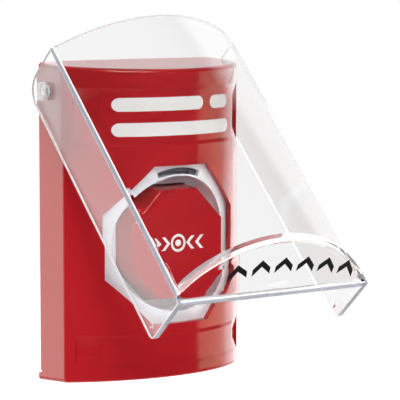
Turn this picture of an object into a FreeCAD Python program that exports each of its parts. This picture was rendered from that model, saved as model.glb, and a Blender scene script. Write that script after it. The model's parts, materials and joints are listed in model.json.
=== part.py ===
"""Emergency push button in a red housing, under a clear hinged cover.

The frame: +X to the right, the front towards -Y, +Z up. The wall is the plane Y = 0, and the origin is
midway between the two wall screws. A depth is a distance in front of the wall. The cover is modelled
closed, about its own hinge line, and its Placement lifts it to the pose at rest.
"""
import FreeCAD, Part
import math
import os

import Sketcher

doc = FreeCAD.newDocument("EmergencyButton")

# Driving dimensions, in millimetres and degrees
DIMENSIONS = [
    ("housing_width", 84.0),
    ("housing_height", 124.8),
    ("side_depth", 18.4),
    ("crown_depth", 39.2),
    ("end_draft", 4.2),
    ("housing_wall", 2.5),
    ("edge_radius", 1.5),
    ("foot_height", 2.8),
    ("foot_step", 1.5),
    ("foot_notch", 0.9),
    ("foot_notch_width", 1.6),
    ("octagon_half_angle", 22.5),
    ("button_drop", 8.0),
    ("opening_flats", 61.0),
    ("upper_label_height", 22.5),
    ("upper_label_middle", 41.55),
    ("lower_label_height", 13.0),
    ("lower_label_middle", -48.5),
    ("label_thickness", 1.1),
    ("label_bevel", 4.8),
    ("label_reach_angle", 37.0),
    ("label_clearance", 0.15),
    ("label_recess", 0.3),
    ("groove_reach_angle", 48.0),
    ("reflector_flats", 70.0),
    ("reflector_wall", 2.0),
    ("reflector_clearance", 0.1),
    ("dish_radius", 26.3),
    ("dish_floor_depth", 26.6),
    ("dish_fillet", 2.4),
    ("collar_wall", 1.8),
    ("slot_inner_radius", 27.0),
    ("slot_outer_radius", 29.5),
    ("slot_reach_angle", 20.0),
    ("carrier_side_angle", 1.0),
    ("carrier_block_angle", 5.0),
    ("leaf_left_angle", -6.5),
    ("leaf_gap_angle", 0.5),
    ("carrier_depth", 30.0),
    ("carrier_thickness", 2.2),
    ("leaf_thickness", 0.5),
    ("leaf_inset", 0.5),
    ("carrier_clearance", 0.1),
    ("post_radius", 2.6),
    ("post_offset", 22.8),
    ("cap_flats", 42.0),
    ("cap_face_depth", 36.3),
    ("cap_rear_depth", 22.8),
    ("cap_draft", 5.6),
    ("cap_wall", 2.2),
    ("cap_edge_radius", 0.9),
    ("cap_clearance", 0.35),
    ("finger_dish_radius", 18.7),
    ("finger_dish_drop", 0.7),
    ("button_travel", 3.5),
    ("stem_radius", 4.0),
    ("stem_end_depth", 13.0),
    ("stem_flange_radius", 16.5),
    ("stem_flange_thickness", 2.0),
    ("stem_clearance", 0.1),
    ("clip_groove_drop", 0.8),
    ("clip_thickness", 1.0),
    ("clip_radius", 6.0),
    ("clip_gap", 0.3),
    ("finger_radius", 2.0),
    ("plunger_radius", 1.5),
    ("plunger_offset", 14.0),
    ("plunger_end_depth", 12.0),
    ("plunger_top_depth", 24.0),
    ("plunger_clearance", 0.1),
    ("plunger_round", 0.4),
    ("spring_radius", 8.0),
    ("spring_wire", 1.2),
    ("spring_turns", 5.0),
    ("bridge_depth", 16.5),
    ("bridge_thickness", 2.0),
    ("bridge_margin", 2.1),
    ("bridge_half_height", 36.4),
    ("bridge_screw_x", 34.0),
    ("bridge_screw_z", 32.0),
    ("bridge_window_width", 24.0),
    ("bridge_window_height", 9.0),
    ("bridge_window_z", 19.5),
    ("guide_radius", 6.5),
    ("guide_depth", 24.0),
    ("boss_radius", 3.2),
    ("block_width", 14.0),
    ("block_height", 26.0),
    ("block_thickness", 10.0),
    ("block_step", 3.0),
    ("block_step_height", 5.5),
    ("screw_shank", 1.2),
    ("screw_head", 2.3),
    ("screw_head_thickness", 1.4),
    ("screw_clearance", 0.3),
    ("thread_clearance", 0.05),
    ("screw_grip", 5.0),
    ("plate_thickness", 2.0),
    ("plate_clearance", 0.4),
    ("plate_corner_radius", 3.0),
    ("wall_screw_spacing", 83.3),
    ("wall_screw_hole", 2.2),
    ("wiring_width", 44.0),
    ("wiring_height", 34.0),
    ("lug_width", 14.0),
    ("lug_height", 6.0),
    ("lug_depth", 13.0),
    ("top_lug_width", 9.0),
    ("top_lug_offset", 20.0),
    ("top_lug_thickness", 2.5),
    ("top_lug_depth", 8.0),
    ("lock_depth", 8.0),
    ("lock_shank", 1.4),
    ("lock_head", 2.8),
    ("lock_head_thickness", 1.5),
    ("lock_boss_radius", 5.0),
    ("lock_boss_height", 2.0),
    ("lock_length", 7.0),
    ("hinge_depth", 9.5),
    ("hinge_height", 51.5),
    ("cover_angle", 43.4),
    ("pin_radius", 2.4),
    ("pin_clearance", 0.05),
    ("pin_head_radius", 3.7),
    ("pin_head_height", 3.0),
    ("pin_head_round", 1.0),
    ("pin_end_gap", 0.6),
    ("hinge_boss_radius", 5.2),
    ("hinge_boss_height", 2.4),
    ("cover_wall", 1.8),
    ("cover_side_gap", 0.6),
    ("cover_back", 9.1),
    ("cover_front", 14.1),
    ("cover_sagitta", 18.6),
    ("cover_top", 9.1),
    ("cover_bottom", 112.2),
    ("ear_radius", 9.0),
    ("cover_corner_radius", 3.0),
    ("cover_edge_radius", 0.9),
    ("lip_side_drop", 107.0),
    ("lip_slope_angle", 17.2),
    ("lip_rim", 2.0),
    ("lip_margin", 0.6),
    ("lip_side_margin", 1.6),
    ("detent_drop", 107.2),
    ("detent_back", 6.3),
    ("detent_radius", 1.3),
    ("detent_height", 0.45),
    ("overrun", 2.0),
]


class Size:
    """A length or an angle that knows its value and the expression that gives it."""

    def __init__(self, value, text):
        self.value = value
        self.text = text

    def join(self, other, sign, value):
        return Size(value, f"({self.text} {sign} {as_size(other).text})")

    def __add__(self, other):
        return self.join(other, "+", self.value + as_size(other).value)

    def __sub__(self, other):
        return self.join(other, "-", self.value - as_size(other).value)

    def __mul__(self, other):
        return self.join(other, "*", self.value * as_size(other).value)

    def __truediv__(self, other):
        return self.join(other, "/", self.value / as_size(other).value)

    def __radd__(self, other):
        return as_size(other) + self

    def __rsub__(self, other):
        return as_size(other) - self

    def __rmul__(self, other):
        return as_size(other) * self

    def __neg__(self):
        return Size(-self.value, f"(-1 * {self.text})")


def as_size(number):
    return number if isinstance(number, Size) else Size(float(number), repr(float(number)))


def root(size):
    return Size(math.sqrt(size.value), f"sqrt({size.text})")


def sine(size):
    return Size(math.sin(math.radians(size.value)), f"sin({size.text} * 1 deg)")


def cosine(size):
    return Size(math.cos(math.radians(size.value)), f"cos({size.text} * 1 deg)")


def tangent(size):
    return Size(math.tan(math.radians(size.value)), f"tan({size.text} * 1 deg)")


class Dimensions:
    """The driving dimensions, each a Size under its own name."""


sheet = doc.addObject("Spreadsheet::Sheet", "Sizes")
dim = Dimensions()
for row, (alias, number) in enumerate(DIMENSIONS, start=1):
    sheet.set(f"A{row}", alias)
    sheet.set(f"B{row}", str(number))
    sheet.setAlias(f"B{row}", alias)
    setattr(dim, alias, Size(number, f"Sizes.{alias}"))
doc.recompute()


def bind(thing, path, value):
    """Gives a property the expression of a size."""
    thing.setExpression(path, as_size(value).text)


# Sketches
PLANES = {"plan": "XY_Plane", "front": "XZ_Plane", "side": "YZ_Plane"}
ORIGIN, X_AXIS, Y_AXIS = (-1, 1), -1, -2
START, END, CENTRE = range(1, 4)

# How near two places count as the same, and how long an edge is at least when a test looks for it
NEAR = 0.01
LONG = 1.0


class Arc:
    """An edge that bends to the next corner; its centre lies left (+1) or right (-1) of the way there."""

    def __init__(self, radius, side):
        self.radius = radius
        self.side = side


def fix_point(sketch, place, u, v):
    """Holds a point of a sketch at two bound distances from the origin."""
    for kind, axis, distance in (("DistanceX", Y_AXIS, as_size(u)), ("DistanceY", X_AXIS, as_size(v))):
        if distance.value == 0:
            sketch.addConstraint(Sketcher.Constraint("PointOnObject", *place, axis))
            continue
        ends = (*ORIGIN, *place) if distance.value > 0 else (*place, *ORIGIN)
        number = sketch.addConstraint(Sketcher.Constraint(kind, *ends, abs(distance.value)))
        shown = distance if distance.value > 0 else -distance
        sketch.setExpression(f"Constraints[{number}]", shown.text)


def add_circle(sketch, u, v, radius):
    centre = FreeCAD.Vector(as_size(u).value, as_size(v).value, 0)
    circle = Part.Circle(centre, FreeCAD.Vector(0, 0, 1), radius.value)
    edge = sketch.addGeometry(circle, False)
    number = sketch.addConstraint(Sketcher.Constraint("Radius", edge, radius.value))
    sketch.setExpression(f"Constraints[{number}]", radius.text)
    fix_point(sketch, (edge, CENTRE), u, v)


def arc_between(first, last, radius, side):
    """The arc of a circle from one point to another, always drawn anticlockwise."""
    chord = last - first
    middle = (first + last) * 0.5
    rise = math.sqrt(max(radius * radius - chord.Length ** 2 / 4, 0.0))
    normal = FreeCAD.Vector(-chord.y, chord.x, 0).normalize()
    centre = middle + normal * (rise * side)
    ends = (first, last) if side > 0 else (last, first)
    angles = [math.atan2(end.y - centre.y, end.x - centre.x) for end in ends]
    return Part.ArcOfCircle(Part.Circle(centre, FreeCAD.Vector(0, 0, 1), radius), *angles)


def add_loop(sketch, corners):
    """Adds a closed loop: each corner is (u, v), or (u, v, Arc) where an arc leads to the next corner."""
    points = [FreeCAD.Vector(as_size(c[0]).value, as_size(c[1]).value, 0) for c in corners]
    heads, tails = [], []
    for index, corner in enumerate(corners):
        first, last = points[index], points[(index + 1) % len(points)]
        if len(corner) == 3:
            arc = corner[2]
            edge = sketch.addGeometry(arc_between(first, last, arc.radius.value, arc.side), False)
            number = sketch.addConstraint(Sketcher.Constraint("Radius", edge, arc.radius.value))
            sketch.setExpression(f"Constraints[{number}]", arc.radius.text)
            heads.append((edge, START if arc.side > 0 else END))
            tails.append((edge, END if arc.side > 0 else START))
        else:
            edge = sketch.addGeometry(Part.LineSegment(first, last), False)
            heads.append((edge, START))
            tails.append((edge, END))
    for index, corner in enumerate(corners):
        sketch.addConstraint(Sketcher.Constraint("Coincident", *tails[index - 1], *heads[index]))
        fix_point(sketch, heads[index], corner[0], corner[1])


def new_body(label):
    body = doc.addObject("PartDesign::Body", label)
    body.Label = label
    return body


def turned(axis, angle):
    """A placement that only turns, about an axis through the origin."""
    return FreeCAD.Placement(FreeCAD.Vector(0, 0, 0), FreeCAD.Rotation(axis, angle))


def new_sketch(body, plane, offset, loops, tilt=None):
    """A sketch on one of the body's own planes, moved along the plane's normal by an offset."""
    sketch = body.newObject("Sketcher::SketchObject", f"{body.Name}_sketch")
    support = [f for f in body.Origin.OriginFeatures if f.Role == PLANES[plane]][0]
    sketch.AttachmentSupport = (support, "")
    sketch.MapMode = "FlatFace"
    if tilt is not None:
        angle, along = tilt
        sketch.AttachmentOffset = turned(FreeCAD.Vector(1, 0, 0), angle.value)
        bind(sketch, "AttachmentOffset.Rotation.Angle", angle)
        bind(sketch, "AttachmentOffset.Base.y", along)
    bind(sketch, "AttachmentOffset.Base.z", offset)
    for loop in loops:
        if isinstance(loop, tuple):
            add_circle(sketch, *loop)
        else:
            add_loop(sketch, loop)
    return sketch


def extrude(kind, body, plane, offset, length, loops, both=False):
    """A pad or a pocket of a body, and the check that it added or took away material."""
    before = body.Shape.Volume if body.Tip else 0.0
    sketch = new_sketch(body, plane, offset, loops)
    feature = body.newObject(f"PartDesign::{kind}", f"{body.Name}_{kind.lower()}")
    feature.Profile = sketch
    if kind == "Pocket":
        feature.Reversed = True
    if both:
        feature.SideType = "Symmetric"
    bind(feature, "Length", length)
    body.Tip = feature
    doc.recompute()
    check_change(body, before, grows=kind == "Pad")
    return feature


def pad(body, plane, offset, length, loops, both=False):
    return extrude("Pad", body, plane, offset, length, loops, both)


def pocket(body, plane, offset, length, loops, both=False):
    return extrude("Pocket", body, plane, offset, length, loops, both)


def check_change(body, before, grows):
    after = body.Shape.Volume
    if (after <= before) if grows else (after >= before):
        raise RuntimeError(f"{body.Label}: a feature changed nothing, {before:.1f} to {after:.1f}")


def turn(kind, body, plane, loops, axis, angle=None):
    """A revolution or a groove about one of the sketch's own axes."""
    before = body.Shape.Volume if body.Tip else 0.0
    sketch = new_sketch(body, plane, 0, loops)
    feature = body.newObject(f"PartDesign::{kind}", f"{body.Name}_{kind.lower()}")
    feature.Profile = sketch
    feature.ReferenceAxis = (sketch, [axis])
    if angle is not None:
        feature.Midplane = True
        bind(feature, "Angle", angle)
    body.Tip = feature
    doc.recompute()
    check_change(body, before, grows=kind == "Revolution")
    return feature


def loft(kind, body, plane, sections):
    """A loft between sketches, each given as an offset and one loop."""
    before = body.Shape.Volume if body.Tip else 0.0
    sketches = [new_sketch(body, plane, offset, [loop]) for offset, loop in sections]
    feature = body.newObject(f"PartDesign::{kind}", f"{body.Name}_loft")
    feature.Profile = sketches[0]
    feature.Sections = sketches[1:]
    feature.Ruled = True
    body.Tip = feature
    doc.recompute()
    check_change(body, before, grows=kind == "AdditiveLoft")
    return feature


def fillet(body, radius, chosen):
    """Rounds the edges of the body's tip that a test picks out."""
    base = body.Tip
    names = [f"Edge{n}" for n, edge in enumerate(base.Shape.Edges, start=1) if chosen(edge)]
    feature = body.newObject("PartDesign::Fillet", f"{body.Name}_fillet")
    feature.Base = (base, names)
    bind(feature, "Radius", radius)
    body.Tip = feature
    doc.recompute()
    return feature


def place(thing, x=0, y=0, z=0):
    for letter, value in (("x", x), ("y", y), ("z", z)):
        bind(thing, f"Placement.Base.{letter}", value)
    return thing


def boolean(kind, label, first, *others):
    """A boolean of whole pieces: Cut takes the others from the first, MultiFuse and MultiCommon use all."""
    if kind == "Cut":
        tool = others[0] if len(others) == 1 else boolean("MultiFuse", f"{label}_tools", *others)
        result = doc.addObject("Part::Cut", label)
        result.Base = first
        result.Tool = tool
    else:
        result = doc.addObject(f"Part::{kind}", label)
        result.Shapes = [first, *others]
    result.Label = label
    doc.recompute()
    return result


# The directions that a round rod can take, as an axis and an angle that turn +Z to them
DIRECTIONS = {
    "front": (FreeCAD.Vector(1, 0, 0), 90),
    "right": (FreeCAD.Vector(0, 1, 0), 90),
    "left": (FreeCAD.Vector(0, 1, 0), -90),
    "up": (FreeCAD.Vector(0, 0, 1), 0),
}


def rod(label, direction, x, depth, z, radius, length):
    """A cylinder that starts at a point, given by its depth, and runs in a direction."""
    result = doc.addObject("Part::Cylinder", label)
    result.Placement = turned(*DIRECTIONS[direction])
    bind(result, "Radius", radius)
    bind(result, "Height", length)
    return place(result, x, -as_size(depth), z)


def octagon(apothem, u=0, v=0):
    """The corners of a regular octagon that stands on a flat."""
    half = apothem * tangent(dim.octagon_half_angle)
    signs = [(1, 1), (-1, 1), (-1, -1), (1, -1)]
    corners = []
    for quarter, (right, up) in enumerate(signs):
        upright = (u + right * apothem, v + up * half)
        level = (u + right * half, v + up * apothem)
        corners += [upright, level] if quarter % 2 == 0 else [level, upright]
    return corners


def rectangle(left, right, bottom, top):
    return [(left, bottom), (right, bottom), (right, top), (left, top)]


# Values that several pieces share
half_width = dim.housing_width / 2
half_height = dim.housing_height / 2
wall = dim.housing_wall
overrun = dim.overrun
bulge = dim.crown_depth - dim.side_depth
front_radius = (half_width * half_width + bulge * bulge) / (2 * bulge)
axis_depth = dim.crown_depth - front_radius
slope = tangent(dim.end_draft)
button_z = -dim.button_drop
bridge_front = dim.bridge_depth + dim.bridge_thickness
lock_floor = dim.lock_depth * slope - half_height


def arc_depth(radius, x):
    """How far from the wall a circle about the housing's axis stands, at a distance x from the middle."""
    return axis_depth + root(radius * radius - x * x)


# Housing
def housing_form(label, inset, back):
    """The housing's outer form, or the form of its hollow where an inset is given."""
    body = new_body(label)
    side = half_width - inset
    radius = front_radius - inset
    shoulder = arc_depth(radius, side)
    plan = [(-side, back), (-side, -shoulder, Arc(radius, 1)), (side, -shoulder), (side, back)]
    top = half_height - inset
    pad(body, "plan", 0, 2 * top, [plan], both=True)
    reach = dim.crown_depth + overrun
    over = top + overrun
    wedges = []
    for way in (1, -1):
        low = way * (top - reach * slope)
        wedges.append([(0, way * top), (-reach, low), (-reach, way * over), (0, way * over)])
    pocket(body, "side", 0, 2 * half_width + overrun, wedges, both=True)
    return body


def is_front_edge(edge):
    return any(abs(vertex.Y) > NEAR for vertex in edge.Vertexes)


def label_groove(label, middle, height):
    """The bevelled arc that a label recess takes out of the front, about the housing's axis."""
    body = new_body(label)
    floor = front_radius - dim.label_thickness
    rim = front_radius + overrun
    flare = dim.label_bevel * overrun / dim.label_thickness
    top, bottom = middle + height / 2, middle - height / 2
    profile = [
        (-rim, bottom - flare),
        (-rim, top + flare),
        (-floor, top - dim.label_bevel),
        (-floor, bottom + dim.label_bevel),
    ]
    turn("Revolution", body, "side", [profile], "V_Axis", 2 * dim.groove_reach_angle)
    return place(body, 0, -axis_depth, 0)


def label_insert(name, middle, height):
    """A curved label plate with bevelled edges, seated in its recess and a little below the front."""
    body = new_body(f"{name}_label_insert")
    gap = dim.label_clearance
    floor = front_radius - dim.label_thickness
    face = front_radius - dim.label_recess
    lean = dim.label_bevel * dim.label_recess / dim.label_thickness
    top, bottom = middle + height / 2 - gap, middle - height / 2 + gap
    profile = [
        (-face, bottom + lean),
        (-face, top - lean),
        (-floor, top - dim.label_bevel),
        (-floor, bottom + dim.label_bevel),
    ]
    turn("Revolution", body, "side", [profile], "V_Axis", 2 * dim.label_reach_angle)
    return place(body, 0, -axis_depth, 0)


def foot_relief():
    """Keeps the side walls off the wall above the feet, with a notch next to each foot."""
    body = new_body("foot_relief")
    step, deep = dim.foot_step, dim.foot_step + dim.foot_notch
    end = half_height - dim.foot_height
    near = end - dim.foot_notch_width / 2
    far = end - dim.foot_notch_width
    over = half_height + overrun
    profile = [(overrun, -end), (0, -end), (-deep, -near), (-step, -far), (-step, over), (overrun, over)]
    pad(body, "side", 0, 2 * half_width + overrun, [profile], both=True)
    return body


def opening_form():
    body = new_body("opening_form")
    length = dim.crown_depth - bridge_front + overrun
    pad(body, "front", bridge_front, length, [octagon(dim.opening_flats / 2, 0, button_z)])
    return body


def make_housing():
    outer = housing_form("housing_outer", as_size(0), 0)
    fillet(outer, dim.edge_radius, is_front_edge)
    core = housing_form("housing_core", wall, overrun)
    shell = boolean("Cut", "housing_hollow", outer, core)
    hinge = (dim.hinge_depth, dim.hinge_height)
    inner = half_width - wall
    bosses = []
    pilots = []
    pilot = dim.screw_shank + dim.thread_clearance
    for name, way in (("right", 1), ("left", -1)):
        start = way * (inner - dim.hinge_boss_height)
        length = dim.hinge_boss_height + wall / 2
        bosses.append(rod(f"hinge_boss_{name}", name, start, *hinge, dim.hinge_boss_radius, length))
        for level, up in (("top", 1), ("bottom", -1)):
            seat = (way * dim.bridge_screw_x, bridge_front, button_z + up * dim.bridge_screw_z)
            reach = dim.crown_depth - bridge_front
            bosses.append(rod(f"bridge_boss_{name}_{level}", "front", *seat, dim.boss_radius, reach))
            pilots.append(rod(f"bridge_pilot_{name}_{level}", "front", *seat, pilot, dim.screw_grip))
    rise = wall + dim.lock_boss_height
    bosses.append(rod("lock_boss", "up", 0, dim.lock_depth, lock_floor, dim.lock_boss_radius, rise))
    rough = boolean("MultiFuse", "housing_bosses", *bosses)
    limit = housing_form("boss_limit", as_size(0), 0)
    trimmed = boolean("MultiCommon", "housing_bosses_trimmed", rough, limit)
    full = boolean("MultiFuse", "housing_with_bosses", shell, trimmed)
    bore = dim.pin_radius + dim.pin_clearance
    hinge_bore = rod("hinge_bore", "right", -half_width - overrun, *hinge, bore, 2 * (half_width + overrun))
    clear = dim.lock_shank + dim.screw_clearance
    lock_hole = rod("lock_hole", "up", 0, dim.lock_depth, lock_floor - overrun, clear, rise + 2 * overrun)
    head = dim.lock_head + dim.screw_clearance
    seat = dim.lock_head_thickness + overrun
    lock_seat = rod("lock_seat", "up", 0, dim.lock_depth, lock_floor - overrun, head, seat)
    return boolean(
        "Cut", "housing_shell", full, opening_form(), foot_relief(), hinge_bore, lock_hole, lock_seat,
        label_groove("upper_groove", dim.upper_label_middle, dim.upper_label_height),
        label_groove("lower_groove", dim.lower_label_middle, dim.lower_label_height),
        *pilots,
    )


# Reflector plate and what shows through its slot
def sector(inner, outer, left, right):
    """A ring sector about the button's middle; the angles are taken from straight up, to the right."""
    corners = []
    for radius, angle in ((outer, left), (outer, right), (inner, right), (inner, left)):
        corners.append((radius * sine(angle), button_z + radius * cosine(angle)))
    corners[0] += (Arc(outer, -1),)
    corners[2] += (Arc(inner, 1),)
    return corners


def make_reflector():
    outer = front_radius - wall - dim.reflector_clearance
    inner = outer - dim.reflector_wall
    half = dim.reflector_flats / 2
    face = new_body("reflector_face")
    crescent = [
        (-half, -arc_depth(outer, half), Arc(outer, 1)),
        (half, -arc_depth(outer, half)),
        (half, -arc_depth(inner, half), Arc(inner, -1)),
        (-half, -arc_depth(inner, half)),
    ]
    pad(face, "plan", button_z, 2 * half, [crescent], both=True)
    cut = half - half * tangent(dim.octagon_half_angle)
    corners = []
    for right in (1, -1):
        for up in (1, -1):
            x, z = right * (half + overrun), button_z + up * (half + overrun)
            reach = cut + 2 * overrun
            corners.append([(x, z), (x - right * reach, z), (x, z - up * reach)])
    pocket(face, "front", bridge_front - overrun, dim.crown_depth, corners)
    block = new_body("reflector_block")
    back = dim.dish_floor_depth - dim.collar_wall
    edge = root(outer * outer - (back - axis_depth) * (back - axis_depth))
    pad(block, "plan", button_z, 2 * half, [[(-edge, -back, Arc(outer, 1)), (edge, -back)]], both=True)
    ring = dim.dish_radius + dim.collar_wall
    tube = rod("collar_rod", "front", 0, back, button_z, ring, dim.crown_depth - back)
    collar = boolean("MultiCommon", "reflector_collar", tube, block)
    posts = []
    pilots = []
    length = arc_depth(inner, dim.post_offset) - bridge_front
    pilot = dim.screw_shank + dim.thread_clearance
    for name, right in (("right", 1), ("left", -1)):
        for level, up in (("top", 1), ("bottom", -1)):
            seat = (right * dim.post_offset, bridge_front, button_z + up * dim.post_offset)
            posts.append(rod(f"post_{name}_{level}", "front", *seat, dim.post_radius, length))
            pilots.append(rod(f"post_pilot_{name}_{level}", "front", *seat, pilot, dim.screw_grip))
    solid = boolean("MultiFuse", "reflector_solid", face, collar, *posts)
    dish = new_body("dish_form")
    radius, floor, bend = dim.dish_radius, dim.dish_floor_depth, dim.dish_fillet
    top = dim.crown_depth + overrun
    turn("Revolution", dish, "plan", [[
        (0, -floor), (radius - bend, -floor, Arc(bend, -1)), (radius, -floor - bend),
        (radius, -top), (0, -top),
    ]], "V_Axis")
    place(dish, 0, 0, button_z)
    hole = new_body("cap_hole_form")
    apothem = cap_apothem(back) + dim.cap_clearance
    pad(hole, "front", back - overrun, dim.collar_wall + 2 * overrun, [octagon(apothem, 0, button_z)])
    slot = new_body("slot_form")
    reach = dim.slot_reach_angle
    loop = sector(dim.slot_inner_radius, dim.slot_outer_radius, -reach, reach)
    pad(slot, "front", dim.carrier_depth, dim.crown_depth - dim.carrier_depth, [loop])
    return boolean("Cut", "reflector_plate", solid, dish, hole, slot, *pilots)


def make_latch():
    """The carrier that lies on the step in the slot, and the steel leaf on it."""
    gap, inset = dim.carrier_clearance, dim.leaf_inset
    reach = dim.slot_reach_angle - dim.carrier_side_angle
    block = reach - dim.carrier_block_angle
    inner, outer = dim.slot_inner_radius + gap, dim.slot_outer_radius - gap
    top = dim.carrier_depth + dim.carrier_thickness
    carrier = new_body("latch_carrier")
    pad(carrier, "front", dim.carrier_depth, dim.carrier_thickness, [sector(inner, outer, -reach, reach)])
    pad(carrier, "front", top, 2 * dim.leaf_thickness, [sector(inner, outer, block, reach)])
    leaf = new_body("latch_leaf")
    strip = sector(inner + inset, outer - inset, dim.leaf_left_angle, block - dim.leaf_gap_angle)
    pad(leaf, "front", top, dim.leaf_thickness, [strip])
    return carrier, leaf


# Button
def cap_apothem(depth):
    """Half the cap's width across its flats at a depth; the sides spread towards the wall."""
    return dim.cap_flats / 2 + (dim.cap_face_depth - depth) * tangent(dim.cap_draft)


def make_cap():
    body = new_body("button_cap")
    face, rear = dim.cap_face_depth, dim.cap_rear_depth
    loft("AdditiveLoft", body, "front", [(depth, octagon(cap_apothem(depth))) for depth in (rear, face)])
    fillet(body, dim.cap_edge_radius, lambda edge: all(v.Y < -face.value + NEAR for v in edge.Vertexes))
    floor = face - dim.cap_wall
    hollow = [(depth, octagon(cap_apothem(depth) - dim.cap_wall)) for depth in (rear, floor)]
    loft("SubtractiveLoft", body, "front", hollow)
    reach, drop = dim.finger_dish_radius, dim.finger_dish_drop
    sphere = (reach * reach + drop * drop) / (2 * drop)
    top = face + overrun
    turn("Groove", body, "plan", [[
        (0, -face + drop, Arc(sphere, -1)), (reach, -face), (reach, -top), (0, -top),
    ]], "V_Axis")
    return place(body, 0, 0, button_z)


def make_stem():
    body = new_body("button_stem")
    top = dim.cap_face_depth - dim.cap_wall
    flange = top - dim.stem_flange_thickness
    clip_front = dim.bridge_depth - dim.clip_gap
    clip_rear = clip_front - dim.clip_thickness
    groove = dim.stem_radius - dim.clip_groove_drop
    turn("Revolution", body, "plan", [[
        (0, -top), (dim.stem_flange_radius, -top), (dim.stem_flange_radius, -flange),
        (dim.stem_radius, -flange), (dim.stem_radius, -clip_front), (groove, -clip_front),
        (groove, -clip_rear), (dim.stem_radius, -clip_rear), (dim.stem_radius, -dim.stem_end_depth),
        (0, -dim.stem_end_depth),
    ]], "V_Axis")
    fingers = [(way * dim.plunger_offset, 0, dim.finger_radius) for way in (1, -1)]
    pad(body, "front", dim.plunger_top_depth, flange - dim.plunger_top_depth, fingers)
    return place(body, 0, 0, button_z)


def make_clip():
    """A snap ring with a gap, in the groove at the end of the stem."""
    body = new_body("stem_clip")
    groove = dim.stem_radius - dim.clip_groove_drop
    depth = dim.bridge_depth - dim.clip_gap - dim.clip_thickness
    pad(body, "front", depth, dim.clip_thickness, [(0, 0, dim.clip_radius), (0, 0, groove)])
    pocket(body, "front", depth - overrun, dim.clip_thickness + 2 * overrun, [
        rectangle(-groove, groove, -dim.clip_radius - overrun, 0),
    ])
    return place(body, 0, 0, button_z)


def make_spring():
    """The return spring, round the guide collar, from the bridge to the stem's flange."""
    wire = dim.spring_wire / 2
    start = bridge_front + wire
    top = dim.cap_face_depth - dim.cap_wall - dim.stem_flange_thickness
    length = top - start - wire
    helix = doc.addObject("Part::Helix", "spring_path")
    bind(helix, "Radius", dim.spring_radius)
    bind(helix, "Height", length)
    bind(helix, "Pitch", length / dim.spring_turns)
    ring = doc.addObject("Part::Circle", "spring_section")
    bind(ring, "Radius", wire)
    ring.Placement = turned(*DIRECTIONS["front"])
    place(ring, dim.spring_radius, 0, 0)
    sweep = doc.addObject("Part::Sweep", "return_spring")
    sweep.Sections = [ring]
    sweep.Spine = helix
    sweep.Solid = True
    sweep.Frenet = True
    sweep.Placement = turned(*DIRECTIONS["front"])
    return place(sweep, 0, -start, button_z)


# Switches
def make_bridge():
    body = new_body("switch_bridge")
    side = half_width - wall - dim.bridge_margin
    high = dim.bridge_half_height
    loops = [rectangle(-side, side, -high, high), (0, 0, dim.stem_radius + dim.stem_clearance)]
    for way in (1, -1):
        plunger = dim.plunger_radius + dim.plunger_clearance
        loops.append((way * dim.plunger_offset, 0, plunger))
        window = dim.bridge_window_width / 2
        low = way * dim.bridge_window_z
        loops.append(rectangle(-window, window, low, low + way * dim.bridge_window_height))
        for up in (1, -1):
            hole = dim.screw_shank + dim.screw_clearance
            loops.append((way * dim.bridge_screw_x, up * dim.bridge_screw_z, hole))
            loops.append((way * dim.post_offset, up * dim.post_offset, hole))
    pad(body, "front", dim.bridge_depth, dim.bridge_thickness, loops)
    pad(body, "front", bridge_front, dim.guide_depth - bridge_front, [
        (0, 0, dim.guide_radius), (0, 0, dim.stem_radius + dim.stem_clearance),
    ])
    return place(body, 0, 0, button_z)


def make_switch(name, way):
    """A contact block on the bridge's rear face, its plunger and its two terminal screws."""
    block = new_body(f"contact_block_{name}")
    wide, high = dim.block_width / 2, dim.block_height / 2
    rear = dim.bridge_depth - dim.block_thickness
    pad(block, "front", rear, dim.block_thickness, [rectangle(-wide, wide, -high, high)])
    bore = dim.plunger_radius + dim.plunger_clearance
    bottom = dim.plunger_end_depth - dim.button_travel - dim.screw_clearance
    pocket(block, "front", bottom, dim.bridge_depth - bottom, [(0, 0, bore)])
    step = high - dim.block_step_height
    over, side = high + overrun, wide + overrun
    steps = [rectangle(-side, side, step, over), rectangle(-side, side, -over, -step)]
    pocket(block, "front", rear - overrun, dim.block_step + overrun, steps)
    screws = []
    for level, up in (("top", 1), ("bottom", -1)):
        z = button_z + up * (high - dim.block_step_height / 2)
        thick = dim.screw_head_thickness
        seat = (way * dim.plunger_offset, rear + dim.block_step - thick, z)
        screws.append(rod(f"terminal_{name}_{level}", "front", *seat, dim.screw_head, thick))
    place(block, way * dim.plunger_offset, 0, button_z)
    group = doc.addObject("Part::Compound", f"terminal_screws_{name}")
    group.Links = screws
    plunger = new_body(f"contact_plunger_{name}")
    length = dim.plunger_top_depth - dim.plunger_end_depth
    pad(plunger, "front", dim.plunger_end_depth, length, [(0, 0, dim.plunger_radius)])
    rear_end = -dim.plunger_end_depth.value
    fillet(plunger, dim.plunger_round, lambda edge: edge.BoundBox.YMin > rear_end - NEAR)
    place(plunger, way * dim.plunger_offset, 0, button_z)
    return block, plunger, group


def screw_group(label, offset_x, offset_z):
    """Four screws through the bridge from behind, each a head and a shank in one piece."""
    screws = []
    head = dim.screw_head_thickness
    for name, way in (("right", 1), ("left", -1)):
        for level, up in (("top", 1), ("bottom", -1)):
            x, z = way * offset_x, button_z + up * offset_z
            start = dim.bridge_depth - head
            shank = head + dim.bridge_thickness + dim.screw_grip - dim.screw_clearance
            parts = [
                rod(f"{label}_head_{name}_{level}", "front", x, start, z, dim.screw_head, head),
                rod(f"{label}_shank_{name}_{level}", "front", x, start, z, dim.screw_shank, shank),
            ]
            screws.append(boolean("MultiFuse", f"{label}_{name}_{level}", *parts))
    group = doc.addObject("Part::Compound", label)
    group.Links = screws
    return group


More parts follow.
